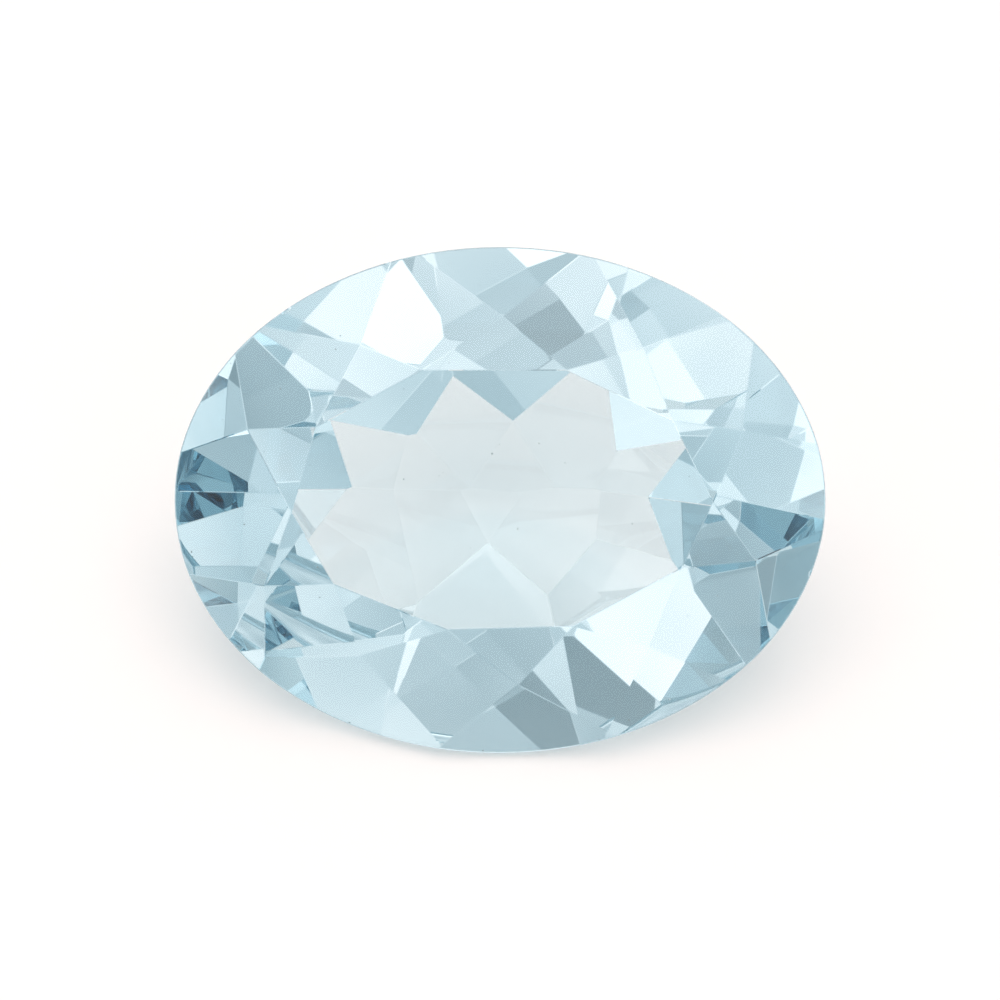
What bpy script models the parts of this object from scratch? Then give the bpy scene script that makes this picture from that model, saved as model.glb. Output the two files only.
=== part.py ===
"""A loose oval aquamarine with a ten-sided table and a keel along the bottom of its pavilion.

The stone is cut from an oval blank with one plane for each facet. It is cut with its table level,
then turned to lie on one side of its pavilion, as a loose stone does. The long axis is X, and the
table faces up and towards -Y.

The real stone is cut by hand, so no two of its facets are quite alike. Each facet here passes
through three of the corners below, which were measured in the photograph as sizes from the middle
of the girdle.
"""
import math

import bmesh
import bpy
from mathutils import Matrix, Vector

# Metres
MILLIMETRE = 0.001
LENGTH = 0.0090
WIDTH = 0.0070
CROWN_HEIGHT = 0.0010
GIRDLE_THICKNESS = 0.00016
STONE_DEPTH = 0.0038

# Facets round the stone, from its right end anticlockwise
SIDES = 10
STEP = 360 // SIDES

# Corners of the table, in millimetres
TABLE_CORNERS = (
    (2.92, -0.03), (2.36, 1.09), (0.91, 1.78), (-1.07, 1.78), (-2.52, 1.00),
    (-2.86, -0.17), (-2.27, -1.16), (-0.72, -1.78), (1.00, -1.73), (2.49, -0.93),
)

# Outer tips of the star facets that lie along the table's edges, in millimetres
STAR_TIPS = (
    (3.33, 0.95, 0.69), (1.97, 2.09, 0.65), (0.04, 2.52, 0.70), (-1.92, 2.13, 0.66),
    (-3.47, 0.97, 0.66), (-3.23, -1.18, 0.71), (-1.92, -2.14, 0.62), (0.25, -2.54, 0.71),
    (2.05, -2.02, 0.63), (3.51, -0.83, 0.67),
)

# Degrees round the girdle between which the facet below each star stands
STAR_FEET = (
    (15, 39), (45, 72), (77, 105), (109, 135), (149, 167),
    (199, 217), (227, 257), (262, 288), (293, 316), (329, 350),
)

# Corners along the keel and on its far and near sides, from the left, in millimetres
KEEL = (
    (-2.06, 0.15, -2.24), (-1.49, 0.15, -2.47), (-0.43, 0.17, -2.76), (0.33, 0.12, -2.78),
    (0.77, 0.15, -2.74), (1.51, 0.12, -2.57), (2.06, 0.04, -2.29),
)
FAR_CORNERS = (
    (-2.34, 1.13, -1.63), (-1.41, 0.91, -2.11), (-1.16, 0.92, -2.19),
    (0.18, 1.10, -2.22), (1.62, 0.68, -2.21), (2.59, 0.82, -1.62),
)
NEAR_CORNERS = (
    (-2.58, -0.55, -1.60), (-1.12, -1.44, -1.76), (-0.17, -0.59, -2.48),
    (1.34, -0.54, -2.25), (2.10, -0.94, -1.72),
)

# Degrees from the right end that each side facet of the pavilion faces
SIDE_DIRECTIONS = (18, 55, 87, 113, 153, 202, 240, 266, 297, 329)
RESTING_SIDE = 7

BLANK_SEGMENTS = 120
TOLERANCE = 1e-8

AQUA = (0.62, 0.86, 0.92, 1.0)
POLISH_ROUGHNESS = 0.02
REFRACTIVE_INDEX = 1.577

UP = Vector((0.0, 0.0, 1.0))


def clear_scene():
    for scene_object in list(bpy.data.objects):
        bpy.data.objects.remove(scene_object, do_unlink=True)


def points(sizes):
    return [Vector(size) * MILLIMETRE for size in sizes]


def girdle_point(angle, height=0.0):
    """A point of the girdle, at an angle round the circle that the oval is squashed from."""
    turn = math.radians(angle)
    return Vector((LENGTH / 2 * math.cos(turn), WIDTH / 2 * math.sin(turn), height))


def make_blank():
    """An upright oval cylinder that is taller than the finished stone at both ends."""
    blank = bmesh.new()
    bmesh.ops.create_cone(
        blank,
        cap_ends=True,
        segments=BLANK_SEGMENTS,
        radius1=0.5,
        radius2=0.5,
        depth=2 * STONE_DEPTH,
    )
    bmesh.ops.scale(blank, vec=(LENGTH, WIDTH, 1.0), verts=blank.verts)
    return blank


def plane_through(first, second, third):
    """The plane of three points, as a point and a normal that faces away from the stone's middle."""
    normal = (second - first).cross(third - first).normalized()
    if normal.dot(first) < 0.0:
        normal.negate()
    return first, normal


def cut_facet(stone, first, second, third):
    """Takes away what is outside the plane of three points, and closes the stone with a facet."""
    point, normal = plane_through(first, second, third)
    geometry = stone.verts[:] + stone.edges[:] + stone.faces[:]
    bmesh.ops.bisect_plane(
        stone, geom=geometry, dist=TOLERANCE, plane_co=point, plane_no=normal, clear_outer=True
    )
    rim = [edge for edge in stone.edges if edge.is_boundary]
    bmesh.ops.edgeloop_fill(stone, edges=rim)


def cut_crown(stone):
    """The table, ten main facets, ten stars between their tops and ten facets below the stars."""
    corners = [Vector((x, y, 0.0)) * MILLIMETRE + UP * CROWN_HEIGHT for x, y in TABLE_CORNERS]
    tips = points(STAR_TIPS)
    cut_facet(stone, corners[0], corners[3], corners[6])
    for number, (foot, other_foot) in enumerate(STAR_FEET):
        next_corner = corners[(number + 1) % SIDES]
        cut_facet(stone, corners[number], tips[number - 1], tips[number])
        cut_facet(stone, corners[number], next_corner, tips[number])
        cut_facet(stone, tips[number], girdle_point(foot), girdle_point(other_foot))


def side_facet(number):
    """Three points of a pavilion side facet: its tip near the keel and two along its level foot."""
    keel = points(KEEL)
    far = points(FAR_CORNERS)
    near = points(NEAR_CORNERS)
    tips = (keel[6], far[4], far[3], far[2], keel[0], keel[0], near[1], near[2], near[3], keel[6])
    foot = girdle_point((number + 0.5) * STEP, -GIRDLE_THICKNESS)
    turn = Matrix.Rotation(math.radians(SIDE_DIRECTIONS[number]), 3, "Z")
    return tips[number], foot, foot + turn @ Vector((0.0, WIDTH, 0.0))


def cut_pavilion(stone):
    """Ten side facets up to the girdle, then six beyond the keel and five on its near side."""
    for number in range(SIDES):
        cut_facet(stone, *side_facet(number))
    keel = points(KEEL)
    far = points(FAR_CORNERS)
    near = points(NEAR_CORNERS)
    cut_facet(stone, keel[1], far[0], far[1])
    cut_facet(stone, keel[1], keel[2], far[2])
    cut_facet(stone, keel[2], far[2], far[3])
    cut_facet(stone, keel[2], keel[4], far[3])
    cut_facet(stone, keel[4], far[3], far[4])
    cut_facet(stone, keel[6], far[4], far[5])
    cut_facet(stone, keel[1], near[0], near[1])
    cut_facet(stone, keel[1], near[1], near[2])
    cut_facet(stone, keel[2], keel[3], near[2])
    cut_facet(stone, keel[3], near[2], near[3])
    cut_facet(stone, keel[6], near[3], near[4])


def turn_to_rest(stone):
    """Turns the stone until one long side of its pavilion is underneath, level and at height 0."""
    _, normal = plane_through(*side_facet(RESTING_SIDE))
    turn = normal.rotation_difference(-UP).to_matrix()
    bmesh.ops.rotate(stone, verts=stone.verts, cent=(0.0, 0.0, 0.0), matrix=turn)
    reach = [(min(line), max(line)) for line in zip(*(vert.co for vert in stone.verts))]
    (left, right), (near, far), (bottom, _) = reach
    shift = Vector((left + right, near + far, 2 * bottom)) / -2
    bmesh.ops.translate(stone, vec=shift, verts=stone.verts)


def gem_material():
    material = bpy.data.materials.new("polished_aquamarine")
    material.use_nodes = True
    shader = material.node_tree.nodes["Principled BSDF"]
    shader.inputs["Base Color"].default_value = AQUA
    shader.inputs["Roughness"].default_value = POLISH_ROUGHNESS
    shader.inputs["Metallic"].default_value = 0.0
    shader.inputs["IOR"].default_value = REFRACTIVE_INDEX
    shader.inputs["Transmission Weight"].default_value = 1.0
    return material


def main():
    clear_scene()
    stone = make_blank()
    cut_crown(stone)
    cut_pavilion(stone)
    turn_to_rest(stone)
    mesh = bpy.data.meshes.new("aquamarine")
    stone.to_mesh(mesh)
    stone.free()
    mesh.materials.append(gem_material())
    collection = bpy.data.collections.new("aquamarine_gemstone")
    bpy.context.scene.collection.children.link(collection)
    collection.objects.link(bpy.data.objects.new("aquamarine", mesh))


main()
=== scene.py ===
"""The looks of a loose oval aquamarine that lies on a white sheet in soft studio light."""
import math

import bmesh
import bpy
from mathutils import Matrix, Vector


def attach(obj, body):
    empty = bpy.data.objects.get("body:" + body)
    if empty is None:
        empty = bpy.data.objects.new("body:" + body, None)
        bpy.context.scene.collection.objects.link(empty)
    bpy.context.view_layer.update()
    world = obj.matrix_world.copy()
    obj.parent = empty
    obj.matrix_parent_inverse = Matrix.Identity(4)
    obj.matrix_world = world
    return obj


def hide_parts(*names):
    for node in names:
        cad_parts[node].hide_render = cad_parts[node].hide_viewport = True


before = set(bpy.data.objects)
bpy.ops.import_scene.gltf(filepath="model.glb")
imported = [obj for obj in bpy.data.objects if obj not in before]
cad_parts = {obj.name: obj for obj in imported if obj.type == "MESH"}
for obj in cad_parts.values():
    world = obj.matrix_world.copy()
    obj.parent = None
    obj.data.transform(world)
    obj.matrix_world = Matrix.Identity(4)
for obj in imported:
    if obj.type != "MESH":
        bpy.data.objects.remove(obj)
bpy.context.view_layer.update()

# Metres
WELD = 1e-7
EDGE_ROUNDING = 0.000007
GIRDLE_ROUNDING = 0.000022
GIRDLE_LENGTH = 0.0090
GIRDLE_WIDTH = 0.0070
CROWN_HEIGHT = 0.0010
SPECK_SIZE = 0.000014
SPECK_REACH = (0.0019, 0.0009, 0.0010)
SPECK_MIDDLE = (0.0, 0.0, -0.0004)
SHEET_SIZE = 0.40
SHEET_GAP = 0.00002
PHOTO_WIDTH = 0.01382
CAMERA_CLIP = 0.001

# Millimetres
SENSOR = 36.0
LENS = 300.0

# Degrees
FLAT_ANGLE = 1.0
BAND_ANGLE = 6.0
GIRDLE_LEAN = 3.0

# Beryl's refractive index
REFRACTIVE_INDEX = 1.577

# Absorption per metre. It was set until the tones came near the photograph's, so it isn't a measured
# value, and it is greyer than a pale aquamarine's own.
DEPTH_COLOUR = (0.17, 0.53, 0.64, 1.0)
DEPTH_DENSITY = 90.0

# The real stone's girdle has a few tiny chips: degrees round its oval, radius in metres
CHIPS = ((131, 0.00012), (117, 0.00007), (110, 0.00006), (58, 0.00008), (343, 0.00010))
CHIP_DEPTH = 0.45
CHIP_SUBDIVISIONS = 3

SPECKS = 14
SPECK_SEED = 5
SPECK_SUBDIVISIONS = 2
SMALLEST_SPECK = 0.4
SPECK_DARK = (0.10, 0.12, 0.12, 1.0)
SPECK_PALE = (0.95, 0.95, 0.92, 1.0)
SPECK_ROUGHNESS = 0.6
SPECK_PATTERN_SCALE = 2500.0

# The rounding of an edge: 0.5 is a round one
ROUND_PROFILE = 0.5
GIRDLE_SEGMENTS = 2

# The polish of the facets varies very slightly, and the girdle is less polished and tinted grey, which
# draws a thin darker line round the outline
HAZE_SCALE = 900.0
HAZE_DETAIL = 3.0
HAZE_ROUGHNESS = 0.004
GIRDLE_ROUGHNESS = 0.15
GIRDLE_GREY = (0.62, 0.70, 0.73, 1.0)
CLEAR = (1.0, 1.0, 1.0, 1.0)

SHEET_WHITE = (0.75, 0.74, 0.73, 1.0)
SHEET_ROUGHNESS = 0.8
SHEET_GLOW = 0.10
SHEET_GLOW_COLOUR = (1.0, 0.90, 0.85, 1.0)

# The room as the stone sees it. The real room is unknown. This one was set by hand, with a scratch
# program's score against the photograph as a guide, and its fifth patch lies between one set by
# hand and one that the program put forward. Each patch is brighter or dimmer than the rest: degrees
# round the picture from its right, degrees away from the camera, degrees across, and brightness
# added. The softness is the share of its radius over which a patch fades, both ways.
ROOM_BRIGHTNESS = 1.0
ROOM_DARKEST = 0.47
PATCH_SOFTNESS = 0.25
ROOM_PATCHES = (
    (90, 45, 60, 0.75),
    (180, 50, 26, 0.45),
    (8, 30, 18, 0.45),
    (40, 45, 22, -0.35),
    (218, 60, 26, -0.35),
    (230, 15, 14, -0.30),
    (270, 10, 16, -0.15),
    (0, 0, 20, -0.15),
    (0, 0, 5, -0.30),
)

# Smaller light and dark things in the room, as a noise pattern. Its place and scale were picked from
# 104 random trials, in three rounds, by how well a small render matched the photograph.
CLUTTER_PLACE = (0.3, 3.5, 4.8)
CLUTTER_SCALE = 8.0
CLUTTER_DETAIL = 3.0
CLUTTER_FINENESS = 0.68
CLUTTER_RANGE = (0.36, 0.74)
CLUTTER_DIM = -0.20
CLUTTER_BRIGHT = 0.56

# What is dim in the room is a little bluer, and what is light a little warmer
DIM_TINT = (0.84, 1.0, 1.06, 1.0)
LIGHT_TINT = (1.10, 1.0, 0.97, 1.0)

# Light is followed through many reflections, because the ends of the stone go dark with fewer
STONE_BOUNCES = 32
SHEET_BOUNCES = 3
BRIGHTEST_REFLECTION = 6.0


class Wire:
    """A socket in a node tree that Python arithmetic adds Math nodes to."""

    def __init__(self, tree, socket):
        self.tree = tree
        self.socket = socket

    def math(self, operation, first, second):
        return node(self.tree, "ShaderNodeMath", {"operation": operation}, {0: first, 1: second})

    def __add__(self, other):
        return self.math("ADD", self, other)

    def __radd__(self, other):
        return self.math("ADD", other, self)

    def __sub__(self, other):
        return self.math("SUBTRACT", self, other)

    def __rsub__(self, other):
        return self.math("SUBTRACT", other, self)

    def __mul__(self, other):
        return self.math("MULTIPLY", self, other)

    def __rmul__(self, other):
        return self.math("MULTIPLY", other, self)


def node(tree, kind, settings=None, inputs=None, output=0):
    """Adds a node, makes its settings, then sets or links its sockets. Returns one output."""
    made = tree.nodes.new(kind)
    for name, value in (settings or {}).items():
        setattr(made, name, value)
    for name, value in (inputs or {}).items():
        if isinstance(value, Wire):
            tree.links.new(value.socket, made.inputs[name])
        else:
            made.inputs[name].default_value = value
    return Wire(tree, made.outputs[output])


def mixed(tree, share, first, second):
    """A colour between two, by a share that is a number or a link."""
    return node(
        tree, "ShaderNodeMix", {"data_type": "RGBA"}, {0: share, 6: first, 7: second}, 2
    )


def new_material(name):
    material = bpy.data.materials.new(name)
    material.use_nodes = True
    material.node_tree.nodes.clear()
    return material


def finish_material(material, surface, volume=None):
    sockets = {"Surface": surface}
    if volume is not None:
        sockets["Volume"] = volume
    tree = material.node_tree
    output = tree.nodes.new("ShaderNodeOutputMaterial")
    for name, wire in sockets.items():
        tree.links.new(wire.socket, output.inputs[name])
    return material


def aquamarine_material():
    material = new_material("aquamarine")
    tree = material.node_tree
    place = node(tree, "ShaderNodeTexCoord", output="Object")
    haze = node(
        tree,
        "ShaderNodeTexNoise",
        inputs={"Vector": place, "Scale": HAZE_SCALE, "Detail": HAZE_DETAIL},
    )
    girdle = node(tree, "ShaderNodeAttribute", {"attribute_name": "girdle"}, output="Fac")
    roughness = haze * HAZE_ROUGHNESS + girdle * GIRDLE_ROUGHNESS
    clearness = mixed(tree, girdle, CLEAR, GIRDLE_GREY)
    surface = node(
        tree,
        "ShaderNodeBsdfPrincipled",
        inputs={
            "Base Color": clearness,
            "Roughness": roughness,
            "IOR": REFRACTIVE_INDEX,
            "Transmission Weight": 1.0,
        },
    )
    volume = node(
        tree, "ShaderNodeVolumeAbsorption", inputs={"Color": DEPTH_COLOUR, "Density": DEPTH_DENSITY}
    )
    return finish_material(material, surface, volume)


def sheet_material():
    material = new_material("white_sheet")
    tree = material.node_tree
    surface = node(
        tree,
        "ShaderNodeBsdfPrincipled",
        inputs={
            "Base Color": SHEET_WHITE,
            "Roughness": SHEET_ROUGHNESS,
            "Emission Color": SHEET_GLOW_COLOUR,
            "Emission Strength": SHEET_GLOW,
        },
    )
    return finish_material(material, surface)


def speck_material():
    """Pale mineral specks, some of them darker than others."""
    material = new_material("speck")
    tree = material.node_tree
    place = node(tree, "ShaderNodeTexCoord", output="Object")
    pattern = node(
        tree, "ShaderNodeTexNoise", inputs={"Vector": place, "Scale": SPECK_PATTERN_SCALE}
    )
    colour = mixed(tree, pattern, SPECK_DARK, SPECK_PALE)
    surface = node(
        tree,
        "ShaderNodeBsdfPrincipled",
        inputs={"Base Color": colour, "Roughness": SPECK_ROUGHNESS},
    )
    return finish_material(material, surface)


def whole_facets():
    """The CAD stone with each facet as one flat face."""
    stone = bmesh.new()
    stone.from_mesh(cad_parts["aquamarine"].data)
    bmesh.ops.remove_doubles(stone, verts=stone.verts, dist=WELD)
    bmesh.ops.dissolve_limit(
        stone, angle_limit=math.radians(FLAT_ANGLE), verts=stone.verts, edges=stone.edges
    )
    return stone


def own_axes(stone):
    """The turn from the stone's own axes to the ones it lies at. Its table, the largest facet, is +Z."""
    table = max(stone.faces, key=lambda facet: facet.calc_area())
    return Vector((0.0, 0.0, 1.0)).rotation_difference(table.normal).to_matrix()


def girdle_middle(stone, axes):
    """The middle of the stone's outline as the camera sees it, at the height of the girdle."""
    seen = [axes.transposed() @ vertex.co for vertex in stone.verts]
    across, up, towards = ((min(line), max(line)) for line in zip(*seen))
    return axes @ Vector((sum(across) / 2, sum(up) / 2, towards[1] - CROWN_HEIGHT))


def mark_girdle(stone, axes):
    """Shades the girdle smooth, and marks it for the material, which makes it less polished and tints it
    grey.
    """
    table = axes @ Vector((0.0, 0.0, 1.0))
    mark = stone.faces.layers.float.new("girdle")
    for face in stone.faces:
        upright = abs(face.normal.dot(table)) < math.sin(math.radians(GIRDLE_LEAN))
        face.smooth = upright
        face[mark] = float(upright)


def bevel_edges(stone, edges, width, segments):
    """Rounds edges over, and returns the new faces."""
    made = bmesh.ops.bevel(
        stone,
        geom=edges,
        offset=width,
        segments=segments,
        profile=ROUND_PROFILE,
        affect="EDGES",
        clamp_overlap=False,
    )
    return made["faces"]


def round_edges(stone):
    """Rounds the girdle's two edges, and takes the last sharpness off the edges between facets."""
    mark = stone.faces.layers.float["girdle"]
    rims = [edge for edge in stone.edges if len({face[mark] for face in edge.link_faces}) == 2]
    for face in bevel_edges(stone, rims, GIRDLE_ROUNDING, GIRDLE_SEGMENTS):
        face[mark] = 1.0
        face.smooth = True
    sharp = [
        edge
        for edge in stone.edges
        if edge.calc_face_angle() > math.radians(BAND_ANGLE)
        and not any(face[mark] for face in edge.link_faces)
    ]
    bevel_edges(stone, sharp, EDGE_ROUNDING, 1)
    for edge in stone.edges:
        edge.smooth = all(face[mark] for face in edge.link_faces)


def chip_cutter(middle, axes):
    """Small balls that stand a little way into the upper edge of the girdle."""
    balls = bmesh.new()
    for angle, radius in CHIPS:
        turn = math.radians(angle)
        edge = Vector((GIRDLE_LENGTH / 2 * math.cos(turn), GIRDLE_WIDTH / 2 * math.sin(turn), 0.0))
        outside = edge.normalized() * radius * (1.0 - CHIP_DEPTH)
        place = Matrix.Translation(middle + axes @ (edge + outside))
        bmesh.ops.create_icosphere(
            balls, subdivisions=CHIP_SUBDIVISIONS, radius=radius, matrix=place
        )
    mesh = bpy.data.meshes.new("chips")
    balls.to_mesh(mesh)
    balls.free()
    cutter = bpy.data.objects.new("chips", mesh)
    bpy.context.scene.collection.objects.link(cutter)
    return cutter


def applied(made, name):
    """A plain copy of an object's shape with its modifiers applied, in place of the object."""
    graph = bpy.context.evaluated_depsgraph_get()
    mesh = bpy.data.meshes.new_from_object(made.evaluated_get(graph))
    mesh.name = name
    bpy.data.objects.remove(made, do_unlink=True)
    piece = bpy.data.objects.new(name, mesh)
    bpy.context.scene.collection.objects.link(piece)
    return piece


def chipped(stone, middle, axes):
    """The stone as an object, with the chips cut out of its girdle."""
    mesh = bpy.data.meshes.new("whole_stone")
    stone.to_mesh(mesh)
    mesh.materials.clear()
    mesh.materials.append(aquamarine_material())
    whole = bpy.data.objects.new("whole_stone", mesh)
    bpy.context.scene.collection.objects.link(whole)
    cutter = chip_cutter(middle, axes)
    cut = whole.modifiers.new("chips", "BOOLEAN")
    cut.operation = "DIFFERENCE"
    cut.object = cutter
    piece = applied(whole, "cut_stone")
    bpy.data.objects.remove(cutter, do_unlink=True)
    return piece


def speck_tree():
    """Geometry nodes that scatter small balls in a box round the origin."""
    tree = bpy.data.node_groups.new("scattered_specks", "GeometryNodeTree")
    for name, kind in (
        ("Count", "NodeSocketInt"),
        ("Reach", "NodeSocketVector"),
        ("Size", "NodeSocketFloat"),
        ("Seed", "NodeSocketInt"),
        ("Material", "NodeSocketMaterial"),
    ):
        tree.interface.new_socket(name, in_out="INPUT", socket_type=kind)
    tree.interface.new_socket("Specks", in_out="OUTPUT", socket_type="NodeSocketGeometry")
    given = tree.nodes.new("NodeGroupInput")
    count, reach, size, seed, material = (Wire(tree, given.outputs[place]) for place in range(5))
    back = node(tree, "ShaderNodeVectorMath", {"operation": "SCALE"}, {0: reach, "Scale": -1.0})
    spot = node(
        tree,
        "FunctionNodeRandomValue",
        {"data_type": "FLOAT_VECTOR"},
        {0: back, 1: reach, "Seed": seed},
    )
    spots = node(tree, "GeometryNodePoints", inputs={"Count": count, "Position": spot})
    ball = node(
        tree,
        "GeometryNodeMeshIcoSphere",
        inputs={"Radius": size, "Subdivisions": SPECK_SUBDIVISIONS},
    )
    share = node(
        tree,
        "FunctionNodeRandomValue",
        {"data_type": "FLOAT"},
        {2: SMALLEST_SPECK, 3: 1.0, "Seed": seed + 1.0},
        1,
    )
    balls = node(
        tree,
        "GeometryNodeInstanceOnPoints",
        inputs={"Points": spots, "Instance": ball, "Scale": share},
    )
    real = node(tree, "GeometryNodeRealizeInstances", inputs={"Geometry": balls})
    dressed = node(
        tree, "GeometryNodeSetMaterial", inputs={"Geometry": real, "Material": material}
    )
    result = tree.nodes.new("NodeGroupOutput")
    tree.links.new(dressed.socket, result.inputs["Specks"])
    return tree


def scatter_specks(middle, axes):
    """Pinpoint specks inside the stone, below the table."""
    scattered = bpy.data.objects.new("scattered", bpy.data.meshes.new("scattered"))
    bpy.context.scene.collection.objects.link(scattered)
    modifier = scattered.modifiers.new("specks", "NODES")
    modifier.node_group = speck_tree()
    given = {
        "Count": SPECKS,
        "Reach": SPECK_REACH,
        "Size": SPECK_SIZE,
        "Seed": SPECK_SEED,
        "Material": speck_material(),
    }
    for socket in modifier.node_group.interface.items_tree:
        if socket.name in given:
            modifier[socket.identifier] = given[socket.name]
    piece = applied(scattered, "specks")
    piece.data.transform(
        Matrix.Translation(middle + axes @ Vector(SPECK_MIDDLE)) @ axes.to_4x4()
    )
    return piece


def add_sheet():
    corners = [(-1, -1), (1, -1), (1, 1), (-1, 1)]
    mesh = bpy.data.meshes.new("white_sheet")
    reach = SHEET_SIZE / 2
    mesh.from_pydata([(x * reach, y * reach, -SHEET_GAP) for x, y in corners], [], [(0, 1, 2, 3)])
    mesh.materials.append(sheet_material())
    sheet = bpy.data.objects.new("white_sheet", mesh)
    bpy.context.scene.collection.objects.link(sheet)


def add_camera(middle, axes):
    """Looks at the stone squarely through its table, from far off, as the photograph does."""
    settings = bpy.data.cameras.new("camera")
    settings.lens = LENS
    settings.sensor_width = SENSOR
    settings.clip_start = CAMERA_CLIP
    camera = bpy.data.objects.new("camera", settings)
    camera.location = middle + axes @ Vector((0.0, 0.0, PHOTO_WIDTH * LENS / SENSOR))
    camera.rotation_euler = axes.to_euler()
    bpy.context.scene.collection.objects.link(camera)
    bpy.context.scene.camera = camera


def room_direction(axes, round_picture, from_camera):
    """The direction of a place in the room, from angles that are measured as the camera sees it."""
    turn = Matrix.Rotation(math.radians(round_picture), 3, "Z")
    tilt = Matrix.Rotation(math.radians(from_camera), 3, "Y")
    return axes @ turn @ tilt @ Vector((0.0, 0.0, 1.0))


def light_studio(axes):
    """A pale room all round the stone, with soft boxes and dim corners in it."""
    world = bpy.data.worlds.new("studio")
    world.use_nodes = True
    tree = world.node_tree
    tree.nodes.clear()
    seen = node(tree, "ShaderNodeTexCoord", output="Generated")
    place = node(
        tree, "ShaderNodeVectorMath", {"operation": "ADD"}, {0: seen, 1: CLUTTER_PLACE}
    )
    clutter = node(
        tree,
        "ShaderNodeTexNoise",
        inputs={
            "Vector": place,
            "Scale": CLUTTER_SCALE,
            "Detail": CLUTTER_DETAIL,
            "Roughness": CLUTTER_FINENESS,
        },
    )
    darkest, lightest = CLUTTER_RANGE
    lightness = node(
        tree,
        "ShaderNodeMapRange",
        inputs={"Value": clutter, "From Min": darkest, "From Max": lightest},
    )
    brightness = lightness * (CLUTTER_BRIGHT - CLUTTER_DIM) + (ROOM_BRIGHTNESS + CLUTTER_DIM)
    for round_picture, from_camera, across, added in ROOM_PATCHES:
        aim = room_direction(axes, round_picture, from_camera)
        radius = math.radians(across / 2)
        nearness = node(
            tree, "ShaderNodeVectorMath", {"operation": "DOT_PRODUCT"}, {0: seen, 1: aim}, "Value"
        )
        inside = node(
            tree,
            "ShaderNodeMapRange",
            {"interpolation_type": "SMOOTHSTEP"},
            {
                "Value": nearness,
                "From Min": math.cos(radius * (1.0 + PATCH_SOFTNESS)),
                "From Max": math.cos(radius * (1.0 - PATCH_SOFTNESS)),
            },
        )
        brightness = inside * added + brightness
    brightness = brightness.math("MAXIMUM", brightness, ROOM_DARKEST)
    tint = mixed(tree, brightness - ROOM_DARKEST, DIM_TINT, LIGHT_TINT)
    light = node(tree, "ShaderNodeBackground", inputs={"Color": tint, "Strength": brightness})
    output = tree.nodes.new("ShaderNodeOutputWorld")
    tree.links.new(light.socket, output.inputs["Surface"])
    bpy.context.scene.world = world


def set_light_paths():
    scene = bpy.context.scene
    scene.cycles.max_bounces = STONE_BOUNCES
    scene.cycles.transmission_bounces = STONE_BOUNCES
    scene.cycles.glossy_bounces = STONE_BOUNCES
    scene.cycles.diffuse_bounces = SHEET_BOUNCES
    scene.cycles.caustics_refractive = True
    scene.cycles.caustics_reflective = True
    scene.cycles.blur_glossy = 0.0
    scene.cycles.sample_clamp_indirect = BRIGHTEST_REFLECTION
    scene.view_settings.view_transform = "Standard"


def main():
    stone = whole_facets()
    axes = own_axes(stone)
    middle = girdle_middle(stone, axes)
    mark_girdle(stone, axes)
    round_edges(stone)
    piece = chipped(stone, middle, axes)
    stone.free()
    specks = scatter_specks(middle, axes)
    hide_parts("aquamarine")
    for visible in (piece, specks):
        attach(visible, "root")
    add_sheet()
    add_camera(middle, axes)
    light_studio(axes)
    set_light_paths()


main()
